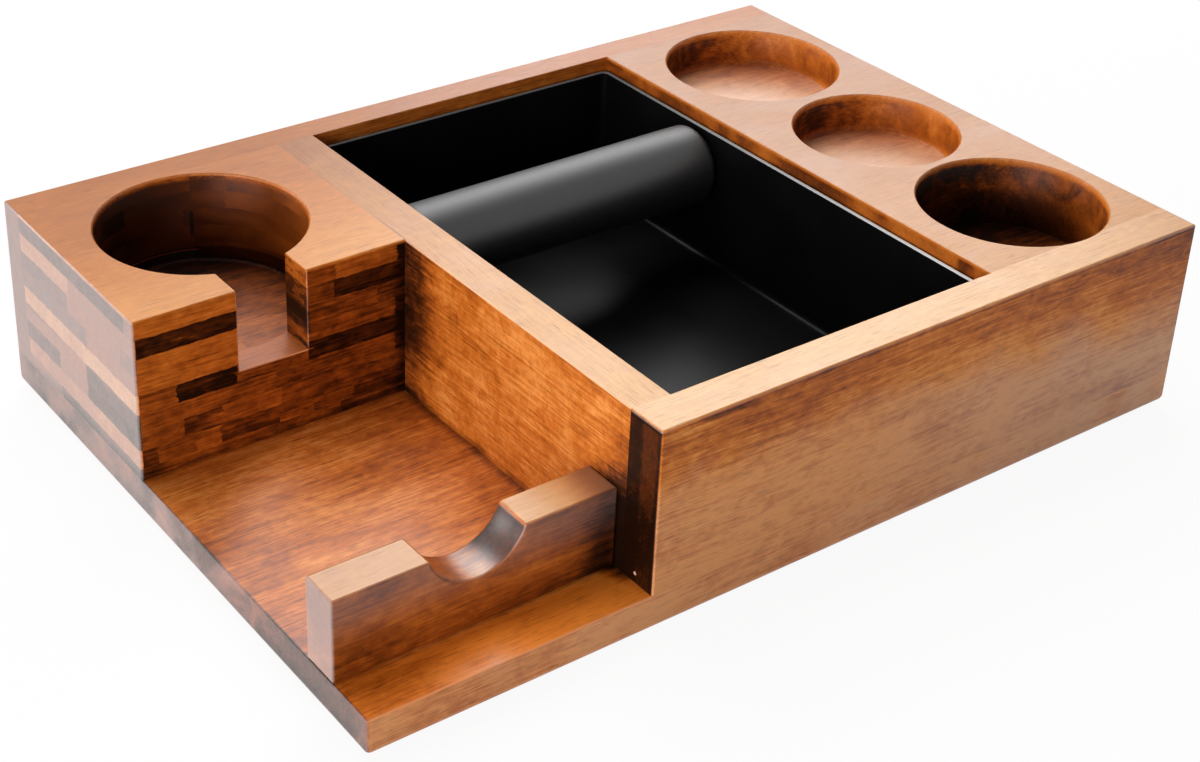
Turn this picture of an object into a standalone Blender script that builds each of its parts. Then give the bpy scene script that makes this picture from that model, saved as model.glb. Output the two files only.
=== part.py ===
"""Espresso tamping station: a wooden case with a portafilter stand, a lift-out knock bin and tool recesses.

The front faces -Y, the portafilter stand is at -X, and the origin is under the middle of the case.
"""

import math

import bmesh
import bpy
from mathutils import Matrix, Vector

# Clearances and edges, in metres
GAP = 0.0003
CUT_MARGIN = 0.004
EASE = 0.0008
BASE_EASE = 0.0022
LIP = 0.0006

# Boards
BASE_THICK = 0.0130
WALL_HEIGHT = 0.0597
FRONT_THICK = 0.0150
BACK_THICK = 0.0120
PARTITION_THICK = 0.0150

# Portafilter stand
CUP_RADIUS = 0.0365
CUP_DEPTH = 0.0350
CUP_LEFT_WALL = 0.0135
CUP_RIGHT_WALL = 0.0148
CUP_BACK_WALL = 0.0015
THROAT = 0.0120
SLOT_WIDTH = 0.0260
SLOT_DEPTH = 0.0304
REST_SETBACK = 0.0185
REST_THICK = 0.0147
REST_HEIGHT = 0.0293
NOTCH_RADIUS = 0.0178
NOTCH_DEPTH = 0.0123

# Tool recesses, named from the back of the case
BACK_RECESS_RADIUS = 0.0344
MIDDLE_RECESS_RADIUS = 0.0314
FRONT_RECESS_RADIUS = 0.0338
SHALLOW_DEPTH = 0.0149
DEEP_DEPTH = 0.0268
BACK_WEB = 0.0023
MIDDLE_WEB = 0.0059
FRONT_WEB = 0.0040
FRONT_BITE = 0.0007
TOOL_LEFT_WALL = 0.0110
TOOL_RIGHT_WALL = 0.0073

# Knock bin
BIN_LENGTH = 0.1342
BIN_SIDE_GAP = 0.0012
BIN_WALL = 0.0015
BIN_DROP = 0.0050
BIN_CORNER = 0.0035
BAR_RADIUS = 0.0155
BAR_FROM_BACK = 0.0581
BAR_DROP = 0.0005
BAR_END_GAP = 0.0008
BAR_END_EASE = 0.0012
CORE_RADIUS = 0.0080
BAR_SCREW_HEAD_RADIUS = 0.0036
BAR_SCREW_RADIUS = 0.0020
BAR_SCREW_LENGTH = 0.0120
BAR_SCREW_SINK = 0.0001

# Base screws and pads
SCREW_HEAD_RADIUS = 0.0040
SCREW_RADIUS = 0.0020
SCREW_LENGTH = 0.0280
SCREW_POINT = 0.0040
SCREW_SINK = 0.0006
SCREW_CLEARANCE = 0.0004
HEAD_RIM = 0.0003
CROSS_LENGTH = 0.0042
CROSS_WIDTH = 0.0010
CROSS_DEPTH = 0.0013
FRONT_SCREW_INSET = 0.0300
BACK_SCREW_INSET = 0.0400
PARTITION_SCREW_INSET = 0.0350
BLOCK_SCREW_INSET = 0.0200
REST_SCREW_INSET = 0.0280
PAD_RADIUS = 0.0070
PAD_THICK = 0.0020
PAD_EASE = 0.0004
PAD_INSET = 0.0180

# Sides of round shapes
BORE_SIDES = 72
BAR_SIDES = 48
SMALL_SIDES = 16

# What counts as one plane or one point, and as a sharp edge in degrees
SAME_PLACE = 1e-6
MERGE_DISTANCE = 1e-5
ROUND_BELOW = 35
SHARP_ABOVE = 40

# Lengthwise: the stand, the partition, the bin bay and the tool block
STAND_LENGTH = CUP_LEFT_WALL + 2 * CUP_RADIUS + CUP_RIGHT_WALL
BAY_LENGTH = BIN_LENGTH + 2 * BIN_SIDE_GAP
WIDEST_RECESS = max(BACK_RECESS_RADIUS, MIDDLE_RECESS_RADIUS, FRONT_RECESS_RADIUS)
TOOL_LENGTH = TOOL_LEFT_WALL + 2 * WIDEST_RECESS + TOOL_RIGHT_WALL
CASE_LENGTH = STAND_LENGTH + PARTITION_THICK + BAY_LENGTH + TOOL_LENGTH
LEFT = -CASE_LENGTH / 2
RIGHT = CASE_LENGTH / 2
STAND_RIGHT = LEFT + STAND_LENGTH
BAY_LEFT = STAND_RIGHT + PARTITION_THICK
BAY_RIGHT = BAY_LEFT + BAY_LENGTH
CUP_X = LEFT + CUP_LEFT_WALL + CUP_RADIUS
RECESS_X = RIGHT - TOOL_RIGHT_WALL - WIDEST_RECESS

# Front to back: the row of recesses sets the depth between the front and back boards
RECESS_ROW = 2 * (BACK_RECESS_RADIUS + MIDDLE_RECESS_RADIUS + FRONT_RECESS_RADIUS)
BAY_DEPTH = GAP + BACK_WEB + RECESS_ROW + MIDDLE_WEB + FRONT_WEB - FRONT_BITE
CASE_DEPTH = FRONT_THICK + BAY_DEPTH + BACK_THICK
FRONT = -CASE_DEPTH / 2
BACK = CASE_DEPTH / 2
BAY_FRONT = FRONT + FRONT_THICK
BAY_BACK = BACK - BACK_THICK
BLOCK_BACK = BAY_BACK - GAP
CUP_Y = BLOCK_BACK - CUP_BACK_WALL - CUP_RADIUS
BLOCK_FRONT = CUP_Y - CUP_RADIUS - THROAT
BACK_RECESS_Y = BLOCK_BACK - BACK_WEB - BACK_RECESS_RADIUS
MIDDLE_RECESS_Y = BACK_RECESS_Y - BACK_RECESS_RADIUS - MIDDLE_WEB - MIDDLE_RECESS_RADIUS
FRONT_RECESS_Y = MIDDLE_RECESS_Y - MIDDLE_RECESS_RADIUS - FRONT_WEB - FRONT_RECESS_RADIUS

# Upwards from the pads
BASE_BOTTOM = PAD_THICK + GAP
BASE_TOP = BASE_BOTTOM + BASE_THICK
WALL_BOTTOM = BASE_TOP + GAP
CASE_TOP = BASE_TOP + WALL_HEIGHT
REST_TOP = WALL_BOTTOM + REST_HEIGHT
BIN_BOTTOM = WALL_BOTTOM
BIN_RIM = CASE_TOP - BIN_DROP
BAR_Z = BIN_RIM - BAR_DROP - BAR_RADIUS

# The bin and its bar
BIN_LEFT = BAY_LEFT + BIN_SIDE_GAP
BIN_RIGHT = BAY_RIGHT - BIN_SIDE_GAP
BIN_FRONT = BAY_FRONT + BIN_SIDE_GAP
BIN_BACK = BAY_BACK - BIN_SIDE_GAP
BAR_Y = BIN_BACK - BIN_WALL - BAR_FROM_BACK

SIDES = {"left": "-x", "right": "+x", "front": "-y", "back": "+y", "bottom": "-z", "top": "+z"}


def clear_scene():
    for old in list(bpy.data.objects):
        bpy.data.objects.remove(old)


def new_collection(name):
    collection = bpy.data.collections.new(name)
    bpy.context.scene.collection.children.link(collection)
    return collection


def material(name, colour, roughness, metallic=0.0):
    made = bpy.data.materials.new(name)
    made.use_nodes = True
    shader = made.node_tree.nodes["Principled BSDF"]
    shader.inputs["Base Color"].default_value = (*colour, 1.0)
    shader.inputs["Roughness"].default_value = roughness
    shader.inputs["Metallic"].default_value = metallic
    return made


def put_in(obj, collection):
    for old in list(obj.users_collection):
        old.objects.unlink(obj)
    collection.objects.link(obj)


def shade_round(mesh):
    mesh.shade_smooth()
    mesh.set_sharp_from_angle(angle=math.radians(ROUND_BELOW))


def box(name, low, high, look=None):
    """A box between two corners, with its origin at its middle."""
    low, high = Vector(low), Vector(high)
    bpy.ops.mesh.primitive_cube_add(size=1.0, location=(low + high) / 2)
    obj = bpy.context.object
    obj.name = obj.data.name = name
    obj.data.transform(Matrix.Diagonal((*(high - low), 1.0)))
    dress(obj, look)
    return obj


def dress(obj, look):
    """A piece gets its material and a place among the parts. What has no material is a cutter."""
    if look:
        obj.data.materials.append(look)
        put_in(obj, PARTS)
        return
    obj.hide_render = True
    obj.display_type = "WIRE"
    put_in(obj, CUTTERS)


def on_side(obj, point, side):
    """Whether the point lies on the plane of the named side of a box."""
    direction, axis = SIDES[side]
    furthest = max if direction == "+" else min
    reach = furthest(getattr(vertex.co, axis) for vertex in obj.data.vertices)
    return abs(getattr(point, axis) - reach) < SAME_PLACE


def ease_edges(obj, width, pairs, segments=2):
    """Rounds the edges where the two named sides of each pair meet."""
    mesh = obj.data
    weights = mesh.attributes.new("bevel_weight_edge", "FLOAT", "EDGE")
    for edge in mesh.edges:
        middle = (mesh.vertices[edge.vertices[0]].co + mesh.vertices[edge.vertices[1]].co) / 2
        if any(all(on_side(obj, middle, side) for side in pair.split()) for pair in pairs):
            weights.data[edge.index].value = 1.0
    bevel = obj.modifiers.new("eased edges", "BEVEL")
    bevel.limit_method = "WEIGHT"
    bevel.width = width
    bevel.segments = segments


def ease_sharp_edges(obj, width, segments=2):
    bevel = obj.modifiers.new("eased edges", "BEVEL")
    bevel.limit_method = "ANGLE"
    bevel.angle_limit = math.radians(SHARP_ABOVE)
    bevel.width = width
    bevel.segments = segments


def cut(obj, cutter):
    boolean = obj.modifiers.new("cut " + cutter.name, "BOOLEAN")
    boolean.operation = "DIFFERENCE"
    boolean.solver = "EXACT"
    boolean.object = cutter


def turned(name, outline, sides, look=None, location=(0, 0, 0), rotation=(0, 0, 0), closed=False):
    """A round solid about Z. The outline holds (radius, height) points from its top to its bottom."""
    mesh = bpy.data.meshes.new(name)
    points = [(radius, 0.0, height) for radius, height in outline]
    edges = [(i, i + 1) for i in range(len(points) - 1)]
    if closed:
        edges.append((len(points) - 1, 0))
    mesh.from_pydata(points, edges, [])
    obj = bpy.data.objects.new(name, mesh)
    obj.location = location
    obj.rotation_euler = rotation
    screw = obj.modifiers.new("turned", "SCREW")
    screw.steps = screw.render_steps = sides
    screw.use_merge_vertices = True
    screw.merge_threshold = MERGE_DISTANCE
    screw.use_smooth_shade = True
    bpy.context.scene.collection.objects.link(obj)
    dress(obj, look)
    return obj


def evaluated_mesh(obj, name):
    bpy.context.view_layer.update()
    graph = bpy.context.evaluated_depsgraph_get()
    mesh = bpy.data.meshes.new_from_object(obj.evaluated_get(graph))
    mesh.name = name
    return mesh


def weld(mesh):
    edit = bmesh.new()
    edit.from_mesh(mesh)
    bmesh.ops.remove_doubles(edit, verts=edit.verts, dist=MERGE_DISTANCE)
    edit.to_mesh(mesh)
    edit.free()


def prism(name, outline, thickness, look, location):
    """A flat outline in X and Z, made solid backwards along Y from the location."""
    curve = bpy.data.curves.new(name, "CURVE")
    curve.dimensions = "2D"
    curve.fill_mode = "BOTH"
    curve.extrude = thickness / 2
    spline = curve.splines.new("POLY")
    spline.points.add(len(outline) - 1)
    for point, (x, z) in zip(spline.points, outline):
        point.co = (x, z, 0.0, 1.0)
    spline.use_cyclic_u = True
    flat = bpy.data.objects.new(name + " outline", curve)
    bpy.context.scene.collection.objects.link(flat)
    flat.location = Vector(location) + Vector((0, thickness / 2, 0))
    flat.rotation_euler = (math.radians(90), 0, 0)
    mesh = evaluated_mesh(flat, name)
    weld(mesh)
    obj = bpy.data.objects.new(name, mesh)
    obj.matrix_world = flat.matrix_world
    bpy.context.scene.collection.objects.link(obj)
    bpy.data.objects.remove(flat)
    dress(obj, look)
    return obj


def arc(centre, radius, start, end, steps):
    """Points of an arc, both ends included, with its angles in degrees."""
    angles = [math.radians(start + (end - start) * i / steps) for i in range(steps + 1)]
    return [(centre[0] + radius * math.cos(a), centre[1] + radius * math.sin(a)) for a in angles]


def bore_cutter(name, x, y, radius, depth):
    """Cuts a round blind hole down from the case's top, with a small chamfer at its lip."""
    outline = [
        (0.0, CUT_MARGIN),
        (radius + LIP + CUT_MARGIN, CUT_MARGIN),
        (radius, -LIP),
        (radius, -depth),
        (0.0, -depth),
    ]
    return turned(name, outline, BORE_SIDES, location=(x, y, CASE_TOP))


def screw_outline(head_radius, radius, length, point):
    """A countersunk screw with its tip up and the face of its head at zero."""
    cone_end = HEAD_RIM + head_radius - radius
    return [
        (0.0, length),
        (radius - min(point, radius) / 2, length - point / 4),
        (radius, length - point),
        (radius, cone_end),
        (head_radius, HEAD_RIM),
        (head_radius, 0.0),
        (0.0, 0.0),
    ]


def hole_outline(head_radius, radius, length):
    """The hole for such a screw, open below its head."""
    cone_end = HEAD_RIM + head_radius - radius
    return [
        (0.0, length + SCREW_CLEARANCE),
        (radius + SCREW_CLEARANCE, length + SCREW_CLEARANCE),
        (radius + SCREW_CLEARANCE, cone_end),
        (head_radius + SCREW_CLEARANCE, HEAD_RIM),
        (head_radius + SCREW_CLEARANCE, -CUT_MARGIN),
        (0.0, -CUT_MARGIN),
    ]


def screw_mesh(name, outline):
    """A turned screw with a cross cut into its head, which all screws of its kind share."""
    blank = turned(name, outline, SMALL_SIDES, METAL)
    reach, half = CROSS_LENGTH / 2, CROSS_WIDTH / 2
    slots = [
        box(name + " slot x", (-reach, -half, -CROSS_DEPTH), (reach, half, CROSS_DEPTH)),
        box(name + " slot y", (-half, -reach, -CROSS_DEPTH), (half, reach, CROSS_DEPTH)),
    ]
    for slot in slots:
        cut(blank, slot)
    mesh = evaluated_mesh(blank, name)
    shade_round(mesh)
    for temporary in [blank, *slots]:
        bpy.data.objects.remove(temporary)
    return mesh


def copy_of(mesh, name, location, rotation=(0, 0, 0)):
    obj = bpy.data.objects.new(name, mesh)
    obj.location = location
    obj.rotation_euler = rotation
    put_in(obj, PARTS)
    return obj


def carry(name, location, pieces):
    """An empty that the named pieces ride on, without moving them."""
    empty = bpy.data.objects.new(name, None)
    empty.location = location
    put_in(empty, PARTS)
    bpy.context.view_layer.update()
    for piece in pieces:
        piece.parent = empty
        piece.matrix_parent_inverse = empty.matrix_world.inverted()
    return empty


def base_screws(mesh, name, base, board, places):
    """Screws driven up through the base into a board, and the holes for them in both."""
    outline = hole_outline(SCREW_HEAD_RADIUS, SCREW_RADIUS, SCREW_LENGTH)
    screws = []
    for number, (x, y) in enumerate(places, start=1):
        place = (x, y, BASE_BOTTOM + SCREW_SINK)
        label = f"{name}_{number}"
        hole = turned("hole for " + label, outline, SMALL_SIDES, location=place)
        cut(base, hole)
        cut(board, hole)
        screws.append(copy_of(mesh, label, place))
    return screws


def make_base_board():
    base = box("base_board", (LEFT, FRONT, BASE_BOTTOM), (RIGHT, BACK, BASE_TOP), WOOD_DARK)
    underside = [f"{side} bottom" for side in ("left", "right", "front", "back")]
    corners = ["front left", "front right", "back left", "back right"]
    ease_edges(base, BASE_EASE, underside + corners, segments=3)
    return base


def make_front_board(bite):
    low = (STAND_RIGHT, FRONT, WALL_BOTTOM)
    high = (RIGHT, BAY_FRONT, CASE_TOP)
    board = box("front_board", low, high, WOOD_LIGHT)
    outer = ["front top", "front left", "front right", "left top", "right top"]
    ease_edges(board, EASE, outer)
    cut(board, bite)
    return board


def make_back_board():
    board = box("back_board", (LEFT, BAY_BACK, WALL_BOTTOM), (RIGHT, BACK, CASE_TOP), WOOD_LIGHT)
    ease_edges(board, EASE, ["back top", "back left", "back right", "left top", "right top"])
    return board


def make_partition_board():
    low = (STAND_RIGHT, BAY_FRONT + GAP, WALL_BOTTOM)
    high = (BAY_LEFT, BLOCK_BACK, CASE_TOP)
    return box("partition_board", low, high, WOOD_LIGHT)


def make_portafilter_block():
    low = (LEFT, BLOCK_FRONT, WALL_BOTTOM)
    high = (STAND_RIGHT - GAP, BLOCK_BACK, CASE_TOP)
    block = box("portafilter_block", low, high, WOOD_STRIPED)
    ease_edges(block, EASE, ["left top", "front top", "front left"])
    cut(block, bore_cutter("cup", CUP_X, CUP_Y, CUP_RADIUS, CUP_DEPTH))
    low = (CUP_X - SLOT_WIDTH / 2, BLOCK_FRONT - CUT_MARGIN, CASE_TOP - SLOT_DEPTH)
    high = (CUP_X + SLOT_WIDTH / 2, CUP_Y, CASE_TOP + CUT_MARGIN)
    cut(block, box("slot", low, high))
    return block


def make_handle_rest():
    """An upright board with a round notch, whose centre is above the board's top."""
    rise = NOTCH_RADIUS - NOTCH_DEPTH
    centre = (CUP_X, REST_TOP + rise)
    dip = math.degrees(math.asin(rise / NOTCH_RADIUS))
    notch = arc(centre, NOTCH_RADIUS, -dip, dip - 180, BORE_SIDES // 3)
    right = STAND_RIGHT - GAP
    corners = [(right, WALL_BOTTOM), (right, REST_TOP)]
    outline = [(LEFT, WALL_BOTTOM), *corners, *notch, (LEFT, REST_TOP)]
    place = (0, FRONT + REST_SETBACK, 0)
    rest = prism("handle_rest", outline, REST_THICK, WOOD_LIGHT, place)
    ease_sharp_edges(rest, EASE)
    return rest


def make_tool_block(front_bore):
    low = (BAY_RIGHT, BAY_FRONT + GAP, WALL_BOTTOM)
    high = (RIGHT, BLOCK_BACK, CASE_TOP)
    block = box("tool_block", low, high, WOOD_STRIPED)
    ease_edges(block, EASE, ["right top"])
    back = bore_cutter("back recess", RECESS_X, BACK_RECESS_Y, BACK_RECESS_RADIUS, SHALLOW_DEPTH)
    cut(block, back)
    middle_sizes = (MIDDLE_RECESS_RADIUS, SHALLOW_DEPTH)
    cut(block, bore_cutter("middle recess", RECESS_X, MIDDLE_RECESS_Y, *middle_sizes))
    cut(block, front_bore)
    return block


def make_knock_bin():
    """A box without its top, rounded at its corners and foot, then given its wall inwards."""
    low = (BIN_LEFT, BIN_FRONT, BIN_BOTTOM)
    high = (BIN_RIGHT, BIN_BACK, BIN_RIM)
    shell = box("knock_bin", low, high, BLACK)
    edit = bmesh.new()
    edit.from_mesh(shell.data)
    lid = max(edit.faces, key=lambda face: face.calc_center_median().z)
    bmesh.ops.delete(edit, geom=[lid], context="FACES_ONLY")
    edit.to_mesh(shell.data)
    edit.free()
    underside = [f"{side} bottom" for side in ("left", "right", "front", "back")]
    corners = ["front left", "front right", "back left", "back right"]
    ease_edges(shell, BIN_CORNER, underside + corners, segments=4)
    wall = shell.modifiers.new("wall", "SOLIDIFY")
    wall.thickness = BIN_WALL
    wall.offset = -1
    wall.use_even_offset = True
    return shell


def make_knock_bar(shell):
    """The rod, its soft sleeve and the two screws that hold it between the bin's side walls."""
    middle = ((BIN_LEFT + BIN_RIGHT) / 2, BAR_Y, BAR_Z)
    along_x = (0, math.radians(90), 0)
    inner_half = (BIN_RIGHT - BIN_LEFT) / 2 - BIN_WALL
    core_half = inner_half - GAP
    outline = [(0, core_half), (CORE_RADIUS, core_half), (CORE_RADIUS, -core_half), (0, -core_half)]
    core = turned("knock_bar_core", outline, BAR_SIDES, METAL, middle, along_x)
    sleeve_half = inner_half - BAR_END_GAP
    shoulder = sleeve_half - BAR_END_EASE
    inner = BAR_RADIUS - BAR_END_EASE
    bore = CORE_RADIUS + GAP
    outline = [
        (bore, sleeve_half),
        *arc((inner, shoulder), BAR_END_EASE, 90, 0, 3),
        *arc((inner, -shoulder), BAR_END_EASE, 0, -90, 3),
        (bore, -sleeve_half),
    ]
    sleeve = turned("knock_bar_sleeve", outline, BAR_SIDES, RUBBER, middle, along_x, closed=True)
    point = BAR_SCREW_RADIUS / 2
    sizes = (BAR_SCREW_HEAD_RADIUS, BAR_SCREW_RADIUS, BAR_SCREW_LENGTH)
    mesh = screw_mesh("bar screw", screw_outline(*sizes, point))
    pieces = [core, sleeve]
    ends = {
        "left": (BIN_LEFT + BAR_SCREW_SINK, math.radians(90)),
        "right": (BIN_RIGHT - BAR_SCREW_SINK, math.radians(-90)),
    }
    for end, (x, turn) in ends.items():
        place = (x, BAR_Y, BAR_Z)
        facing = (0, turn, 0)
        outline = hole_outline(*sizes)
        hole = turned(f"hole for bar screw {end}", outline, SMALL_SIDES, None, place, facing)
        cut(shell, hole)
        cut(core, hole)
        pieces.append(copy_of(mesh, f"knock_bar_screw_{end}", place, facing))
    return pieces


def make_pads():
    outline = [
        (0.0, PAD_THICK),
        (PAD_RADIUS, PAD_THICK),
        (PAD_RADIUS, PAD_EASE),
        (PAD_RADIUS - PAD_EASE, 0.0),
        (0.0, 0.0),
    ]
    x, y = RIGHT - PAD_INSET, BACK - PAD_INSET
    places = {
        "front_left": (-x, -y),
        "front_right": (x, -y),
        "back_left": (-x, y),
        "back_right": (x, y),
    }
    return [
        turned("foot_pad_" + name, outline, 2 * SMALL_SIDES, RUBBER, (*place, 0.0))
        for name, place in places.items()
    ]


def build():
    base = make_base_board()
    front_size = (FRONT_RECESS_RADIUS, DEEP_DEPTH)
    front_bore = bore_cutter("front recess", RECESS_X, FRONT_RECESS_Y, *front_size)
    front_board = make_front_board(front_bore)
    back_board = make_back_board()
    partition = make_partition_board()
    block = make_portafilter_block()
    rest = make_handle_rest()
    tool_block = make_tool_block(front_bore)
    front_y = (FRONT + BAY_FRONT) / 2
    back_y = (BAY_BACK + BACK) / 2
    partition_x = (STAND_RIGHT + BAY_LEFT) / 2
    block_y = (BLOCK_FRONT + BLOCK_BACK) / 2
    rest_y = FRONT + REST_SETBACK + REST_THICK / 2
    tool_x = (BAY_RIGHT + RIGHT) / 2
    fixings = {
        "front_board_screw": (
            front_board,
            [(STAND_RIGHT + FRONT_SCREW_INSET, front_y), (RIGHT - FRONT_SCREW_INSET, front_y)],
        ),
        "back_board_screw": (
            back_board,
            [(LEFT + BACK_SCREW_INSET, back_y), (RIGHT - BACK_SCREW_INSET, back_y)],
        ),
        "partition_screw": (
            partition,
            [
                (partition_x, BAY_FRONT + PARTITION_SCREW_INSET),
                (partition_x, BLOCK_BACK - PARTITION_SCREW_INSET),
            ],
        ),
        "portafilter_block_screw": (
            block,
            [(LEFT + BLOCK_SCREW_INSET, block_y), (STAND_RIGHT - BLOCK_SCREW_INSET, block_y)],
        ),
        "handle_rest_screw": (
            rest,
            [(LEFT + REST_SCREW_INSET, rest_y), (STAND_RIGHT - REST_SCREW_INSET, rest_y)],
        ),
        "tool_block_screw": (
            tool_block,
            [(tool_x, BAY_FRONT + BLOCK_SCREW_INSET), (tool_x, BLOCK_BACK - BLOCK_SCREW_INSET)],
        ),
    }
    outline = screw_outline(SCREW_HEAD_RADIUS, SCREW_RADIUS, SCREW_LENGTH, SCREW_POINT)
    mesh = screw_mesh("base screw", outline)
    screws = []
    for name, (board, places) in fixings.items():
        screws += base_screws(mesh, name, base, board, places)
    boards = [base, front_board, back_board, partition, block, rest, tool_block]
    carry("case", (0, 0, 0), [*boards, *screws, *make_pads()])
    shell = make_knock_bin()
    bin_middle = ((BIN_LEFT + BIN_RIGHT) / 2, (BIN_FRONT + BIN_BACK) / 2, BIN_BOTTOM)
    carry("lift_out_bin", bin_middle, [shell, *make_knock_bar(shell)])


clear_scene()
PARTS = new_collection("espresso tamping station")
CUTTERS = new_collection("cutters")
WOOD_LIGHT = material("light stained wood", (0.42, 0.165, 0.06), 0.4)
WOOD_DARK = material("dark stained wood", (0.34, 0.12, 0.035), 0.38)
WOOD_STRIPED = material("laminated wood", (0.37, 0.135, 0.045), 0.4)
BLACK = material("black coated metal", (0.012, 0.012, 0.013), 0.35)
RUBBER = material("dark rubber", (0.05, 0.05, 0.052), 0.6)
METAL = material("bright steel", (0.62, 0.62, 0.64), 0.3, 1.0)
build()
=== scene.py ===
import math

import bmesh
import bpy
from mathutils import Matrix, Vector


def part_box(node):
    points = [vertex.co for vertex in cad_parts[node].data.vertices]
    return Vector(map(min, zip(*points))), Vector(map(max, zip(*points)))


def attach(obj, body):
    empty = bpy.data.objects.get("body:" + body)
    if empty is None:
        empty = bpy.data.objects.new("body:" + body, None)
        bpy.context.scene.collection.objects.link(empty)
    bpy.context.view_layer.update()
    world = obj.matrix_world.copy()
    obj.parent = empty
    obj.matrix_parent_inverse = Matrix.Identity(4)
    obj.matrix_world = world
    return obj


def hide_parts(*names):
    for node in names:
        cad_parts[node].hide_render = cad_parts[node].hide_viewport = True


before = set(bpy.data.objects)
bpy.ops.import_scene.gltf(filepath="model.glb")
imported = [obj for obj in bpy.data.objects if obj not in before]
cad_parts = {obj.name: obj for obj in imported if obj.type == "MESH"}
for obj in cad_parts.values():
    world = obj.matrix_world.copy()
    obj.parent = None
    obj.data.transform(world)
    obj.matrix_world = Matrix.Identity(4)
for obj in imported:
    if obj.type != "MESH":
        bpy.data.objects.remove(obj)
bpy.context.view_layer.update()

MM = 0.001

# The camera, as fitted to the photograph
CAMERA_PLACE = (-407.7 * MM, -512.5 * MM, 418.0 * MM)
CAMERA_AZIMUTH = 36.40
CAMERA_ELEVATION = 28.09
CAMERA_ROLL = 1.81
CAMERA_LENS = 63.82
CAMERA_SHIFT = (0.0551, -0.1289)
CAMERA_RANGE = (0.05, 20.0)

# Widths of the rounded edges, in millimetres: the boards', the bin's, and the inner ones at two floors
BOARD_ROUND = 0.35
BIN_ROUND = 0.3
SEAT_COVE = 1.2
RECESS_COVE = 2.4
ROUND_SEGMENTS = 4
# The joints between boards, in millimetres: how wide they are, and how close to a neighbour an edge is in one
SEAM = 0.04
NEAR = 0.5
# The rounding of the base's upright corners: as in the CAD, and as drawn, in millimetres
CORNER_WIDE = 2.2
CORNER_NARROW = 0.8
# Limits for cleaning, rounding and smooth shading of the copies
MERGE = 0.001 * MM
FLAT_BELOW = math.radians(1)
SHARP_ABOVE = math.radians(60)
ROUND_BELOW = math.radians(50)
FLAT_AREA = 130 * MM * MM
SQUARE = 0.99999
# How deep below a face its own tone may reach, in millimetres
SKIN = 0.9

# The portafilter block's seat and its slot, in millimetres
SEAT_FLOOR = 40.0
SLOT_FLOOR = 44.6
SLOT_LEFT = -133.0
SLOT_RIGHT = -107.0
# The tool block's recesses, whose middles are about evenly apart, in millimetres
RECESS_X = 128.3
RECESS_LEFT = 91.0
RECESS_RIGHT = 165.0
FRONT_RECESS_Y = -70.9
RECESS_STEP = 70.5
SHALLOW_FLOOR = 60.1
# Which way the recesses' tone deepens, along x and y: the way the photograph's camera looks, from above.
# It is fixed on the object, and the tone along it is painted reflection and shade.
RECESS_SLANT = (0.593, 0.805)
# The handle rest's notch, whose middle is above the rest, in millimetres
NOTCH_RADIUS = 17.8
NOTCH_RISE = 5.5

# Rows of the laminated wood, counted down from the case's top, in millimetres
ROW_HEIGHT = 6.9

# The sleeve's rounded ends, in millimetres, and its faces
SLEEVE_ROUND = 3.2
SLEEVE_STEPS = 8
SLEEVE_TURNS = 96


def corners(node):
    """The lowest and highest corner of a CAD node, in millimetres."""
    low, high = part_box(node)
    return low / MM, high / MM


CASE_LOW, CASE_HIGH = corners("base_board")
BLOCK_LOW, BLOCK_HIGH = corners("portafilter_block")
REST_LOW, REST_HIGH = corners("handle_rest")
TOOL_LOW, TOOL_HIGH = corners("tool_block")
PARTITION_LOW, PARTITION_HIGH = corners("partition_board")
FRONT_LOW, FRONT_HIGH = corners("front_board")
BACK_LOW, BACK_HIGH = corners("back_board")
BOARDS = {
    "base_board": (CASE_LOW, CASE_HIGH),
    "front_board": (FRONT_LOW, FRONT_HIGH),
    "back_board": (BACK_LOW, BACK_HIGH),
    "partition_board": (PARTITION_LOW, PARTITION_HIGH),
    "portafilter_block": (BLOCK_LOW, BLOCK_HIGH),
    "handle_rest": (REST_LOW, REST_HIGH),
    "tool_block": (TOOL_LOW, TOOL_HIGH),
}
TOP = BLOCK_HIGH.z


def lowest_of_notch():
    """Where along x the handle rest's notch is lowest. The screw holes from below end further down."""
    places = [vertex.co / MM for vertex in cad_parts["handle_rest"].data.vertices]
    deepest = REST_HIGH.z - (NOTCH_RADIUS - NOTCH_RISE)
    return min((place for place in places if place.z > deepest - 0.7), key=lambda place: place.z).x


NOTCH_X = lowest_of_notch()


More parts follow.
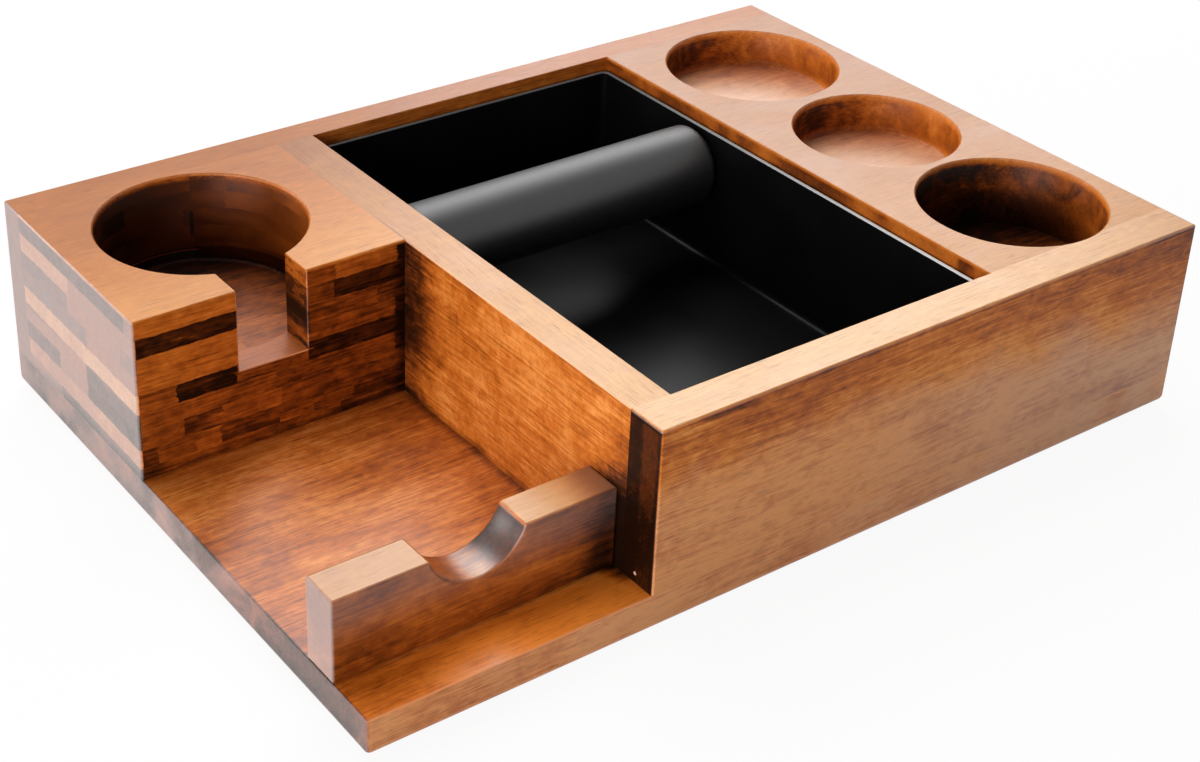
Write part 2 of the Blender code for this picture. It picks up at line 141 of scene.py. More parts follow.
class Nodes:
    """A node tree, with short calls that add nodes and wire them."""

    def __init__(self, tree):
        self.tree = tree

    def add(self, kind, **settings):
        node = self.tree.nodes.new(kind)
        for name, value in settings.items():
            setattr(node, name, value)
        return node

    def plug(self, socket, value):
        if isinstance(value, bpy.types.NodeSocket):
            self.tree.links.new(value, socket)
        else:
            socket.default_value = value

    def math(self, operation, *values):
        node = self.add("ShaderNodeMath", operation=operation)
        for socket, value in zip(node.inputs, values):
            self.plug(socket, value)
        return node.outputs[0]

    def plus(self, first, second):
        return self.math("ADD", first, second)

    def minus(self, first, second):
        return self.math("SUBTRACT", first, second)

    def product(self, total, *others):
        for other in others:
            total = self.math("MULTIPLY", total, other)
        return total

    def most(self, total, *others):
        for other in others:
            total = self.math("MAXIMUM", total, other)
        return total

    def mixed(self, share, first, second):
        """The first value where the share is none, and the second where it is one."""
        return self.math("MULTIPLY_ADD", self.minus(second, first), share, first)

    def darker(self, tone, share, depth):
        """The tone, taken down by the depth where the share is one."""
        return self.minus(tone, self.product(share, depth))

    def lighter(self, tone, share, rise):
        """The tone, raised where the share is one."""
        return self.plus(tone, self.product(share, rise))

    def vector(self, operation, *values):
        node = self.add("ShaderNodeVectorMath", operation=operation)
        for socket, value in zip(node.inputs, values):
            self.plug(socket, value)
        return node.outputs["Value" if operation == "DISTANCE" else 0]

    def scaled(self, vector, factor):
        node = self.add("ShaderNodeVectorMath", operation="SCALE")
        self.plug(node.inputs[0], vector)
        self.plug(node.inputs["Scale"], factor)
        return node.outputs[0]

    def split(self, vector):
        node = self.add("ShaderNodeSeparateXYZ")
        self.plug(node.inputs[0], vector)
        return node.outputs

    def join(self, x, y, z):
        node = self.add("ShaderNodeCombineXYZ")
        for socket, value in zip(node.inputs, (x, y, z)):
            self.plug(socket, value)
        return node.outputs[0]

    def remap(self, value, low, high, to_low=0.0, to_high=1.0, smooth=False):
        node = self.add("ShaderNodeMapRange", interpolation_type="SMOOTHSTEP" if smooth else "LINEAR")
        for socket, given in zip(node.inputs, (value, low, high, to_low, to_high)):
            self.plug(socket, given)
        return node.outputs[0]


class Graph(Nodes):
    """A new material's nodes. Its places are in millimetres, in the object's own frame."""

    def __init__(self, name):
        self.material = bpy.data.materials.new(name)
        self.material.use_nodes = True
        super().__init__(self.material.node_tree)
        self.shader = self.tree.nodes["Principled BSDF"]
        coordinates = self.add("ShaderNodeTexCoord").outputs
        self.facing = coordinates["Normal"]
        self.mm = self.scaled(coordinates["Object"], 1 / MM)
        self.x, self.y, self.z = self.split(self.mm)
        self.axes = {"x": self.x, "y": self.y, "z": self.z}
        # The slow noise that the wood's stains follow
        self.cloud = None

    def noise(self, vector, scale, detail=2.0, roughness=0.5, distortion=0.0, output="Fac"):
        """Noise with the given scale along each axis."""
        inputs = {"Scale": 1.0, "Detail": detail, "Roughness": roughness, "Distortion": distortion}
        node = self.add("ShaderNodeTexNoise")
        self.plug(node.inputs["Vector"], self.vector("MULTIPLY", vector, scale))
        for name, value in inputs.items():
            self.plug(node.inputs[name], value)
        return node.outputs[output]

    def swing(self, value, reach, noise=None):
        """The value, moved to and fro by the cloud or another noise, by half the reach at most."""
        return self.math("MULTIPLY_ADD", self.minus(noise or self.cloud, 0.5), reach, value)

    def ramp(self, value, stops, constant=False):
        """Stops are (position, grey or colour) pairs."""
        node = self.add("ShaderNodeValToRGB")
        ramp = node.color_ramp
        ramp.interpolation = "CONSTANT" if constant else "LINEAR"
        for number, (position, colour) in enumerate(stops):
            stop = ramp.elements[number] if number < 2 else ramp.elements.new(position)
            stop.position = position
            stop.color = (*colour, 1.0) if isinstance(colour, tuple) else (colour, colour, colour, 1.0)
        self.plug(node.inputs[0], value)
        return node.outputs[0]

    def blend(self, share, first, second):
        node = self.add("ShaderNodeMix", data_type="RGBA")
        for socket, value in zip((node.inputs[0], node.inputs[6], node.inputs[7]), (share, first, second)):
            self.plug(socket, (*value, 1.0) if isinstance(value, tuple) else value)
        return node.outputs[2]

    def bump(self, height, distance, strength):
        node = self.add("ShaderNodeBump")
        self.plug(node.inputs["Strength"], strength)
        self.plug(node.inputs["Distance"], distance)
        self.plug(node.inputs["Height"], height)
        return node.outputs[0]

    def set(self, **inputs):
        """Sets or wires the main shader's inputs, named with underscores for spaces."""
        for name, value in inputs.items():
            self.plug(self.shader.inputs[name.replace("_", " ")], value)


# The stain's colours from dark to light
STAIN = (
    (0.00, (0.010, 0.003, 0.001)),
    (0.22, (0.085, 0.018, 0.003)),
    (0.45, (0.300, 0.066, 0.007)),
    (0.70, (0.560, 0.148, 0.016)),
    (1.00, (0.800, 0.300, 0.065)),
)
# The same on the upper faces, yellower and paler: stain with painted sheen
UPPER_STAIN_AND_SHEEN = (
    (0.00, (0.030, 0.009, 0.003)),
    (0.45, (0.280, 0.085, 0.012)),
    (0.70, (0.480, 0.180, 0.028)),
    (1.00, (0.740, 0.370, 0.100)),
)
# Between the two, with less painted sheen, for the tops of the block and the back board
MIDDLE_STAIN_AND_SHEEN = (
    (0.00, (0.020, 0.006, 0.002)),
    (0.45, (0.290, 0.078, 0.010)),
    (0.70, (0.520, 0.168, 0.022)),
    (1.00, (0.770, 0.335, 0.082)),
)
# A redder stain, for the strip of the base before the handle rest
RICH_STAIN = (
    (0.00, (0.012, 0.003, 0.001)),
    (0.45, (0.330, 0.070, 0.006)),
    (0.70, (0.640, 0.148, 0.012)),
    (1.00, (0.880, 0.245, 0.024)),
)
PORE_COLOUR = (0.060, 0.015, 0.003)
# The greyer colours of painted reflection and sheen: the case's left side, highlighted edges, pale places
SHEEN_GREYS = (
    (0.00, (0.130, 0.118, 0.108)),
    (0.30, (0.290, 0.215, 0.200)),
    (0.55, (0.420, 0.255, 0.210)),
    (0.80, (0.610, 0.385, 0.270)),
    (1.00, (0.660, 0.430, 0.310)),
)


def within(graph, axis, low, high, soft=0.6):
    """One between two places on an axis, with soft ends."""
    above = graph.remap(axis, low - soft, low + soft)
    below = graph.remap(axis, high - soft, high + soft, 1.0, 0.0)
    return graph.product(above, below)


def near_plane(graph, axis, at, reach):
    """One on the plane, falling to nothing at the reach from it."""
    away = graph.math("ABSOLUTE", graph.minus(axis, at))
    return graph.remap(away, 0.0, reach, 1.0, 0.0, smooth=True)


def on_face(graph, axis, at, skin=SKIN):
    """One on the face at the low end of an axis, falling to nothing at the skin's depth below it."""
    return graph.remap(axis, at + skin, at + 0.3)


def on_upper(graph, at, share=1.0):
    """The share on an upper face at the given height, and nothing below its edges."""
    return graph.remap(graph.z, at - 0.6, at - 0.2, 0.0, share)


def near_edge(graph, edge):
    """One on an edge, which is (axis, place, axis, place, axis along it, from, to)."""
    first, at, second, there, along, low, high = edge
    return graph.product(
        near_plane(graph, graph.axes[first], at, 0.6),
        near_plane(graph, graph.axes[second], there, 0.6),
        within(graph, graph.axes[along], low, high),
    )


def along_axis(graph, axis, stops):
    """A value that changes evenly between (place, value) stops."""
    low, high = stops[0][0], stops[-1][0]
    share = graph.math("DIVIDE", graph.minus(axis, low), high - low)
    return graph.ramp(share, [((at - low) / (high - low), value) for at, value in stops])


def grain(graph, along, moved, figure, marks):
    """How far the wood's figure moves its tone, its finest lines, and its pores."""
    drift = graph.noise(moved, (0.012, 0.012, 0.012), output="Color")
    wavy = graph.vector("ADD", moved, graph.scaled(drift, 4.0))

    def drawn_out(lengthwise, across):
        return (lengthwise, across, across) if along == "x" else (across, lengthwise, across)

    graph.cloud = graph.noise(moved, (0.024, 0.034, 0.034), detail=3.0, distortion=0.8)
    swirl = graph.noise(moved, (0.05, 0.09, 0.09), detail=4.0, distortion=2.0)
    mottle = graph.noise(wavy, (0.25, 0.40, 0.40), detail=3.0, distortion=0.6)
    line = graph.noise(wavy, drawn_out(0.060, 1.00), detail=3.0, roughness=0.65)
    thread = graph.noise(wavy, drawn_out(0.016, 1.30), roughness=0.60)
    streak = graph.noise(wavy, drawn_out(0.010, 0.17), detail=3.0)
    dash = graph.noise(wavy, drawn_out(0.085, 0.95), detail=3.0, roughness=0.60)
    pore = graph.noise(wavy, drawn_out(0.11, 3.0), detail=1.0)
    dashes = graph.product(graph.remap(dash, 0.55, 0.68), graph.remap(swirl, 0.40, 0.60))
    change = graph.math("MULTIPLY_ADD", dashes, -0.22 * marks, 0.04 * marks)
    for layer, share in (
        (line, 0.50), (thread, 0.40), (streak, 0.30),
        (graph.cloud, 0.50), (swirl, 0.45), (mottle, 0.35),
    ):
        change = graph.swing(change, share * figure, layer)
    endwise = graph.math("ABSOLUTE", graph.split(graph.facing)["xyz".index(along)])
    change = graph.product(change, graph.remap(endwise, 0.5, 0.9, 1.0, 0.45))
    return change, line, graph.remap(pore, 0.62, 0.72)


def wood(
    name, shade, along="x", tone=0.66, shift=(0, 0, 0), staves=None, top=None, top_at=TOP, pools=(), worn=(),
    haze=None, side=None, rich=None, upper_stain=UPPER_STAIN_AND_SHEEN, figure=1.0, marks=1.0, gloss=0.8,
):
    """Stained, lacquered wood, with its grain along one axis and its tone from none, dark, to one, light.

    shade gives the board's stains and its painted shade and light, sheen and side say where painted sheen
    makes it greyer, and rich where it is redder. staves gives the tone and the grain's shift of wood that is
    glued from staves. top is (axis, stops) for the tone of the upper face, pools are (axis, place, reach,
    depth) of darkening, partly stain and partly painted shade, and worn lists painted pale edges.
    """
    graph = Graph(name)
    level = tone
    moved = graph.vector("ADD", graph.mm, shift)
    if staves:
        level, offset = staves(graph)
        moved = graph.vector("ADD", moved, offset)
    change, line, pores = grain(graph, along, moved, figure, marks)
    if top:
        upper = graph.remap(graph.z, top_at - 0.25, top_at - 0.05)
        level = graph.mixed(upper, level, along_axis(graph, graph.axes[top[0]], top[1]))
        change = graph.product(change, graph.math("MULTIPLY_ADD", upper, -0.72, 1.0))
    value = graph.plus(level, change)
    # Pools darken near joints and corners: partly stain, partly painted shade
    below_top = graph.remap(graph.z, TOP - 0.2, TOP - 0.9)
    for axis, at, reach, depth in pools:
        pool = near_plane(graph, graph.swing(graph.axes[axis], reach), at, reach)
        value = graph.darker(value, graph.product(pool, below_top), depth)
    value = shade(graph, value)
    # Painted highlights: the listed edges are made paler
    pale_share = 0.0
    for edge in worn:
        pale_share = graph.most(near_edge(graph, edge), pale_share)
    value = graph.lighter(value, pale_share, 0.30)
    colour = graph.ramp(value, STAIN)
    if rich:
        colour = graph.blend(rich(graph), colour, graph.ramp(value, RICH_STAIN))
    if top:
        colour = graph.blend(upper, colour, graph.ramp(value, upper_stain))
    colour = graph.blend(graph.product(pores, 0.45), colour, PORE_COLOUR)
    # Greyer as painted reflection and sheen: the case's left side, the highlighted edges and the sheen's
    # places
    greyer = graph.remap(graph.x, CASE_LOW.x + 0.7, CASE_LOW.x + 0.2)
    if side:
        greyer = graph.product(greyer, side(graph))
    greyer = graph.most(greyer, graph.product(pale_share, 0.4))
    if haze:
        greyer = graph.most(greyer, haze(graph))
    height = graph.math("MULTIPLY_ADD", pores, -0.5, line)
    graph.set(
        Base_Color=graph.blend(greyer, colour, graph.ramp(value, SHEEN_GREYS)),
        Roughness=graph.remap(graph.cloud, 0.3, 0.7, 0.30, 0.40),
        Normal=graph.bump(height, 0.05 * MM, 0.6),
        Specular_IOR_Level=gloss,
    )
    return graph.material


def woods(name, shade, gloss=0.8, dull_gloss=0.3, **settings):
    """The same wood twice: lacquered, and with less gloss for the faces that stay dull."""
    return [
        wood(name, shade, gloss=gloss, **settings),
        wood(name + "_dull", shade, gloss=dull_gloss, **settings),
    ]


# Staves of the portafilter block from its top row down: (millimetres from the left or the front, tone)
# The front's tones are set darker, in part as painted shade
FRONT_ROWS = [
    [(0, 0.54), (63, 0.36), (74, 0.52), (98, 0.16)],
    [(0, 0.07), (37, 0.12), (63, 0.30), (73, 0.08)],
    [(0, 0.52), (60, 0.26), (90, 0.32)],
    [(0, 0.54), (37, 0.44), (63, 0.32), (97, 0.12)],
    [(0, 0.38), (14, 0.06), (36, 0.28), (63, 0.06)],
    [(0, 0.40), (50, 0.30), (84, 0.36), (97, 0.18)],
    [(0, 0.42), (16, 0.30), (30, 0.46), (52, 0.28), (85, 0.36)],
    [(0, 0.20), (6, 0.38), (20, 0.44), (29, 0.24), (51, 0.38), (64, 0.24), (68, 0.32), (80, 0.18)],
    [(0, 0.32), (75, 0.20)],
]
LEFT_ROWS = [
    [(0, 0.36), (6, 0.18)],
    [(0, 0.46), (48, 0.60)],
    [(0, 0.38), (10, 0.46), (50, 0.27)],
    [(0, 0.46), (36, 0.32)],
    [(0, 0.72), (40, 0.66)],
    [(0, 0.16), (38, 0.46)],
    [(0, 0.13), (38, 0.46), (60, 0.20)],
    [(0, 0.62), (50, 0.55)],
    [(0, 0.20), (60, 0.38)],
]


def row_tones(graph, along, length, rows, row):
    """The tone at a place along each row. A row is a list of (where a stave starts, its tone)."""
    share = graph.math("DIVIDE", along, length)
    total = 0.0
    for number, staves in enumerate(rows):
        stops = [(start / length, tone) for start, tone in staves]
        here = graph.math("COMPARE", row, float(number), 0.5)
        total = graph.math("MULTIPLY_ADD", graph.ramp(share, stops, constant=True), here, total)
    return total


def block_staves(graph):
    """The portafilter block's own staves: by their length in front, and by their width on the left."""
    wobble = graph.minus(graph.noise(graph.mm, (0.22, 0.22, 0.6), detail=3.0), 0.5)
    depth = graph.math("MULTIPLY_ADD", wobble, 1.4, graph.minus(TOP, graph.z))
    row = graph.most(graph.math("FLOOR", graph.math("DIVIDE", depth, ROW_HEIGHT)), 0.0)
    across = graph.minus(graph.x, BLOCK_LOW.x)
    deep = graph.minus(graph.y, BLOCK_LOW.y)
    size = BLOCK_HIGH - BLOCK_LOW
    front = row_tones(graph, graph.math("MULTIPLY_ADD", wobble, 3.0, across), size.x, FRONT_ROWS, row)
    left = row_tones(graph, graph.math("MULTIPLY_ADD", wobble, 3.0, deep), size.y, LEFT_ROWS, row)
    tone = graph.mixed(graph.math("LESS_THAN", across, SKIN), front, left)
    tone = graph.mixed(graph.math("GREATER_THAN", graph.z, TOP - SKIN), tone, 0.6)
    return tone, graph.join(graph.product(tone, 900.0), 0.0, graph.product(row, 17.0))


def from_recess(graph):
    """How far a place is from the middle of its recess, the way its tone deepens."""
    half = RECESS_STEP / 2
    nearest = graph.math("WRAP", graph.y, FRONT_RECESS_Y + half, FRONT_RECESS_Y - half)
    behind = graph.product(graph.minus(nearest, FRONT_RECESS_Y), RECESS_SLANT[1])
    away = graph.math("MULTIPLY_ADD", graph.minus(graph.x, RECESS_X), RECESS_SLANT[0], behind)
    return graph.swing(away, 14.0)


def tool_shade(graph, value):
    """Painted shade and reflection in the recesses: floors paler at the front left, darker walls, the deep
    one darkest.
    """
    strayed = graph.swing(graph.x, 30.0)
    inside = graph.remap(graph.z, TOP - 1.2, TOP - 3.0)
    inside = graph.product(inside, within(graph, graph.x, RECESS_LEFT, RECESS_RIGHT, 1.0))
    # Painted reflection and shade on the floors: lighter at the front left, darker at the back right
    floor = graph.remap(from_recess(graph), -4.0, 36.0, -0.20, 0.26, smooth=True)
    blotch = graph.noise(graph.mm, (0.10, 0.10, 0.07), detail=4.0, distortion=1.2)
    # Painted shade on the walls, darker at the left, made blotchy by a noise
    wall = graph.swing(graph.remap(strayed, 116.0, 164.0, 0.48, 0.13, smooth=True), -0.80, blotch)
    above = graph.remap(graph.z, SHALLOW_FLOOR + 0.3, SHALLOW_FLOOR + 3.4)
    value = graph.darker(value, graph.mixed(above, floor, wall), inside)
    # The face over the bin's rim
    over_rim = graph.product(graph.remap(graph.x, 92.0, 90.0), graph.remap(graph.z, TOP - 0.8, TOP - 1.6))
    value = graph.darker(value, over_rim, graph.remap(graph.cloud, 0.42, 0.58, 0.40, 0.12))
    # Painted shade in the deep recess, darker at the left and low down
    deep = graph.product(inside, graph.remap(graph.y, -34.0, -40.0))
    left = graph.remap(strayed, 160.0, 118.0, 0.22, 0.62, smooth=True)
    low = graph.remap(graph.z, 66.0, 52.0, 0.0, 0.20, smooth=True)
    return graph.darker(value, deep, graph.plus(left, low))


def tool_haze(graph):
    """Painted reflection: the shallow recesses' floors are paler and greyer at the front left."""
    return graph.product(
        graph.remap(graph.z, SHALLOW_FLOOR + 0.5, SHALLOW_FLOOR + 0.1),
        graph.remap(graph.z, SHALLOW_FLOOR - 0.5, SHALLOW_FLOOR - 0.1),
        graph.remap(graph.y, -37.0, -36.0),
        within(graph, graph.x, RECESS_LEFT, RECESS_RIGHT),
        graph.remap(from_recess(graph), 4.0, 38.0, 0.60, 0.10, smooth=True),
    )


def block_shade(graph, value):
    """Painted shade in the seat, darker at its left and at its wall's foot, and a flat tone on the slot's
    floor.
    """
    behind = graph.product(
        graph.remap(graph.y, BLOCK_LOW.y + 12.0, BLOCK_LOW.y + 20.0),
        graph.remap(graph.x, BLOCK_LOW.x + 1.0, BLOCK_LOW.x + 3.0),
    )
    inside = graph.product(graph.remap(graph.z, TOP - 1.0, TOP - 3.0), behind)
    # The seat's walls are nearly black, less so toward the right: painted shade
    wall = graph.product(inside, graph.remap(graph.z, SEAT_FLOOR + 0.2, SEAT_FLOOR + 1.5))
    darkened = graph.swing(graph.remap(graph.x, -84.0, -132.0, 0.26, 0.0, smooth=True), 0.5)
    darkened = graph.math("MULTIPLY_ADD", value, 0.10, graph.plus(darkened, 0.04))
    value = graph.mixed(wall, value, darkened)
    # Painted shadow at the foot of the seat's wall
    foot = graph.product(within(graph, graph.z, SEAT_FLOOR + 0.3, SEAT_FLOOR + 5.5, 0.3), behind)
    value = graph.darker(value, foot, 0.16)
    slot_edge = within(graph, graph.x, SLOT_RIGHT - 0.5, SLOT_RIGHT + 0.6, 0.2)
    value = graph.darker(value, graph.product(slot_edge, within(graph, graph.z, 51.0, 60.0, 1.0)), 0.30)
    # The seat's floor is lighter at the front and darker at the back: painted shade
    floor = within(graph, graph.z, SEAT_FLOOR - 0.5, SEAT_FLOOR + 0.2, 0.2)
    value = graph.darker(value, floor, graph.remap(graph.y, 60.0, 100.0, -0.08, 0.2))
    # The slot's floor takes a flatter, lighter tone, partly painted sheen
    slot = graph.product(
        within(graph, graph.z, SLOT_FLOOR - 0.3, SLOT_FLOOR + 0.2, 0.1),
        within(graph, graph.x, SLOT_LEFT - 2.0, SLOT_RIGHT + 2.0),
    )
    return graph.mixed(slot, value, graph.math("MULTIPLY_ADD", value, 0.4, 0.40))


def corner_stain_and_shade(graph, value, corner, reach, depth):
    """Stain and painted shade round an inner corner, which reach further up and down than to the sides."""
    flatter = (1.0, 1.0, 0.55)
    middle = Vector(corner) * Vector(flatter)
    away = graph.vector("DISTANCE", graph.vector("MULTIPLY", graph.mm, flatter), middle)
    away = graph.swing(away, 0.8 * reach)
    return graph.darker(value, graph.remap(away, 0.35 * reach, reach, 1.0, 0.0, smooth=True), depth)


def partition_shade(graph, value):
    """Stain and painted shade on the left face, dark where the handle rest meets it and fainter where the
    block does.
    """
    darkened = corner_stain_and_shade(graph, value, (PARTITION_LOW.x, -99.0, 22.0), 19.0, 0.85)
    darkened = corner_stain_and_shade(graph, darkened, (PARTITION_LOW.x, BLOCK_LOW.y, 62.0), 26.0, 0.26)
    return graph.mixed(on_face(graph, graph.x, PARTITION_LOW.x), value, darkened)


def front_chip(graph):
    """One on a small pale chip near the foot of the front board's left end."""
    away = graph.vector("DISTANCE", graph.mm, (FRONT_LOW.x, -110.5, 18.8))
    slanted = graph.math("MULTIPLY_ADD", graph.minus(graph.z, graph.y), 0.2, away)
    return graph.remap(graph.minus(slanted, 25.6), 0.95, 0.75)


# A dark nick and a light smear by the front board's upper edge:
# from and to along x, softness of the ends, how far down, reach, depth
TOP_MARKS = (
    (-54.0, -33.0, 5.0, 2.0, 1.6, 0.38),
    (-63.0, -51.0, 3.0, 3.4, 1.5, -0.24),
)


def front_shade(graph, value):
    """A lighter middle of the long face as painted light, with its darker edges and marks, and a dark banded
    left end.
    """
    front = graph.remap(graph.z, TOP - 0.3, TOP - 1.0)
    # Painted light: the long face is lighter below its upper edge, less so at the right
    level = graph.swing(graph.z, 26.0)
    below = graph.remap(level, TOP - 3.0, TOP - 30.0, -0.04, 0.22, smooth=True)
    right = graph.remap(graph.x, 100.0, 165.0, 1.0, 0.70, smooth=True)
    value = graph.lighter(value, graph.product(below, right), front)
    high = graph.remap(level, TOP - 38.0, TOP - 12.0, smooth=True)
    high = graph.product(high, graph.remap(graph.x, 70.0, 165.0, smooth=True), front)
    value = graph.darker(value, high, 0.16)
    right_edge = near_plane(graph, graph.x, CASE_HIGH.x, 1.4)
    edges = graph.most(near_plane(graph, graph.z, TOP - 0.8, 1.3), right_edge)
    value = graph.darker(value, graph.product(edges, front), 0.26)
    for low, high, soft, down, reach, depth in TOP_MARKS:
        mark = near_plane(graph, graph.z, TOP - down, reach)
        mark = graph.product(within(graph, graph.x, low, high, soft), mark)
        value = graph.darker(value, mark, depth)
    # The part of the back face that shows in the deep recess, darkened like the recess's walls: painted shade
    back = graph.remap(graph.y, FRONT_HIGH.y - 1.4, FRONT_HIGH.y - 0.9)
    back = graph.product(back, within(graph, graph.x, RECESS_LEFT, RECESS_RIGHT))
    value = graph.darker(value, graph.product(back, graph.remap(graph.z, TOP - 0.9, TOP - 2.4)), 0.50)
    # The left end, darkest at its foot
    strayed = graph.math("MULTIPLY_ADD", graph.cloud, 3.0, graph.y)
    bands = graph.plus(within(graph, strayed, -108.6, -100.0), within(graph, strayed, -119.0, -115.6))
    depth = graph.lighter(graph.remap(graph.z, 74.0, 34.0, 0.46, 0.86, smooth=True), bands, 0.14)
    depth = graph.darker(depth, front_chip(graph), 1.6)
    return graph.darker(value, graph.remap(graph.x, FRONT_LOW.x + 0.22, FRONT_LOW.x + 0.06), depth)


def front_haze(graph):
    """Painted reflection: the long face is a little greyer below and more so at its right; its chip is pale.
    """
    rise = graph.remap(graph.x, 60.0, 165.0, 2.0, 12.0, smooth=True)
    level = graph.plus(graph.swing(graph.z, 30.0), rise)
    share = graph.product(
        graph.remap(level, TOP - 9.0, TOP - 34.0, 0.0, 0.62, smooth=True),
        on_face(graph, graph.y, FRONT_LOW.y),
        graph.remap(graph.x, -20.0, 150.0, 0.38, 1.0, smooth=True),
    )
    return graph.most(share, front_chip(graph))


def from_notch(graph):
    """How far a place is from the axis of the handle rest's round notch."""
    middle = (NOTCH_X, REST_LOW.y, REST_HIGH.z + NOTCH_RISE)
    return graph.vector("DISTANCE", graph.join(graph.x, REST_LOW.y, graph.z), middle)


def on_notch(graph):
    """One on the notch's own surface."""
    return graph.product(
        near_plane(graph, from_notch(graph), NOTCH_RADIUS, 1.6),
        graph.product(
            graph.remap(graph.y, REST_LOW.y + 0.3, REST_LOW.y + 0.8),
            graph.remap(graph.y, REST_HIGH.y - 0.3, REST_HIGH.y - 0.8),
        ),
    )


def rest_shade(graph, value):
    """Painted shade: darker toward the rest's right end, on its front, and at both sides of the notch's
    lowest part.
    """
    upper = on_upper(graph, REST_HIGH.z)
    to_right = graph.remap(graph.x, -125.0, -70.0, smooth=True)
    value = graph.darker(value, to_right, graph.math("MULTIPLY_ADD", upper, -0.12, 0.12))
    face = graph.remap(graph.z, 18.0, 27.0, 1.0, 0.7)
    value = graph.darker(value, graph.product(on_face(graph, graph.y, REST_LOW.y, 0.8), face), 0.20)
    notch = graph.product(on_notch(graph), graph.remap(graph.z, REST_HIGH.z - 0.6, REST_HIGH.z - 1.4))
    left = graph.remap(graph.x, NOTCH_X + 1.0, NOTCH_X - 7.0, 0.0, 0.30, smooth=True)
    right = graph.remap(graph.x, NOTCH_X + 2.0, NOTCH_X + 9.0, -0.06, 0.52, smooth=True)
    value = graph.darker(value, notch, graph.plus(left, right))
    far_end = graph.remap(graph.swing(graph.x, 14.0), REST_HIGH.x - 20.0, REST_HIGH.x - 3.0, smooth=True)
    value = graph.darker(value, graph.product(far_end, upper), 0.46)
    left_end = on_face(graph, graph.x, REST_LOW.x, 0.8)
    value = graph.darker(value, left_end, graph.remap(graph.z, 40.0, 16.0, 0.06, 0.02))
    value = graph.darker(value, left_end, graph.remap(graph.cloud, 0.42, 0.60, 0.14, -0.06))
    darkened = corner_stain_and_shade(graph, value, (REST_HIGH.x, -101.0, 24.0), 17.0, 0.24)
    return graph.mixed(graph.math("MULTIPLY_ADD", upper, -0.85, 1.0), value, darkened)


def rest_haze(graph):
    """Painted sheen: the notch's lowest part and its front edge are paler, and the top and the front a
    little.
    """
    off_middle = graph.math("ABSOLUTE", graph.minus(graph.x, NOTCH_X + 2.0))
    lowest = graph.remap(off_middle, 1.5, 6.0, 1.0, 0.0, smooth=True)
    face = graph.remap(graph.z, 26.0, 42.0, 0.0, 0.30, smooth=True)
    edge = near_plane(graph, from_notch(graph), NOTCH_RADIUS, 0.6)
    return graph.most(
        graph.product(lowest, 0.75, on_notch(graph)),
        on_upper(graph, REST_HIGH.z, 0.10),
        graph.product(face, on_face(graph, graph.y, REST_LOW.y, 0.8)),
        graph.product(edge, near_plane(graph, graph.y, REST_LOW.y, 0.6), 0.8),
    )


def before_rest(graph):
    """One on the strip of the base before the handle rest, and on all that is further forward."""
    return graph.remap(graph.y, REST_LOW.y, REST_LOW.y - 1.5)


def floor_shade(graph, value):
    """The tray's floor: stain and painted shade in its inner corners, darker at its right, painted light in
    places.
    """
    # Stain and painted shade along the partition and the block, and in the corner by the front board
    value = graph.darker(value, near_plane(graph, graph.x, PARTITION_LOW.x, 4.0), 0.25)
    value = graph.darker(value, near_plane(graph, graph.y, BLOCK_LOW.y, 3.0), 0.20)
    value = corner_stain_and_shade(graph, value, (PARTITION_LOW.x, -102.0, 16.0), 9.0, 0.60)
    right = graph.remap(graph.swing(graph.x, 30.0), -112.0, -86.0, smooth=True)
    value = graph.darker(value, right, 0.13)
    # Painted light: lighter in the middle, on the strip before the handle rest, and at the back left
    middle = graph.product(near_plane(graph, graph.x, -96.0, 22.0), near_plane(graph, graph.y, -50.0, 30.0))
    value = graph.lighter(value, middle, 0.10)
    value = graph.lighter(value, before_rest(graph), graph.remap(graph.x, -160.0, -90.0, 0.20, 0.36))
    far_left = graph.remap(graph.x, -140.0, -164.0, smooth=True)
    value = graph.lighter(value, graph.product(far_left, graph.remap(graph.y, -12.0, 4.0)), 0.10)
    # Painted shade at the near left
    near_left = graph.remap(graph.x, -146.0, -158.0, smooth=True)
    return graph.darker(value, graph.product(near_left, graph.remap(graph.y, -8.0, -22.0)), 0.13)


def base_shade(graph, value):
    """The tray's floor, a front face lighter as painted light but darker at foot and right end, and a darker
    left side.
    """
    value = graph.mixed(on_upper(graph, CASE_HIGH.z), value, floor_shade(graph, value))
    # Painted light: the front face is lighter
    front = on_face(graph, graph.y, CASE_LOW.y)
    value = graph.lighter(value, front, 0.18)
    right_edge = near_plane(graph, graph.x, CASE_HIGH.x, 1.4)
    edges = graph.most(near_plane(graph, graph.z, CASE_LOW.z, 1.6), right_edge)
    value = graph.darker(value, graph.product(front, edges), 0.30)
    patches = graph.remap(graph.cloud, 0.40, 0.62, 0.50, 0.26, smooth=True)
    foot = graph.remap(graph.z, 9.0, 3.0, 0.0, 0.16)
    return graph.darker(value, on_face(graph, graph.x, CASE_LOW.x), graph.plus(patches, foot))


def base_haze(graph):
    """Painted reflection: the front edge is as grey as the front board's foot; a patch of the strip beside it
    is paler.
    """
    edge = graph.product(
        on_face(graph, graph.y, CASE_LOW.y),
        graph.remap(graph.cloud, 0.35, 0.65, 0.35, 0.65),
        graph.remap(graph.x, -20.0, 150.0, 0.45, 1.0, smooth=True),
    )
    pale_share = graph.product(
        on_upper(graph, CASE_HIGH.z),
        near_plane(graph, graph.y, CASE_LOW.y, 11.0),
        near_plane(graph, graph.x, -128.0, 24.0),
        graph.remap(graph.cloud, 0.40, 0.60, 0.15, 0.60),
    )
    return graph.most(edge, pale_share)


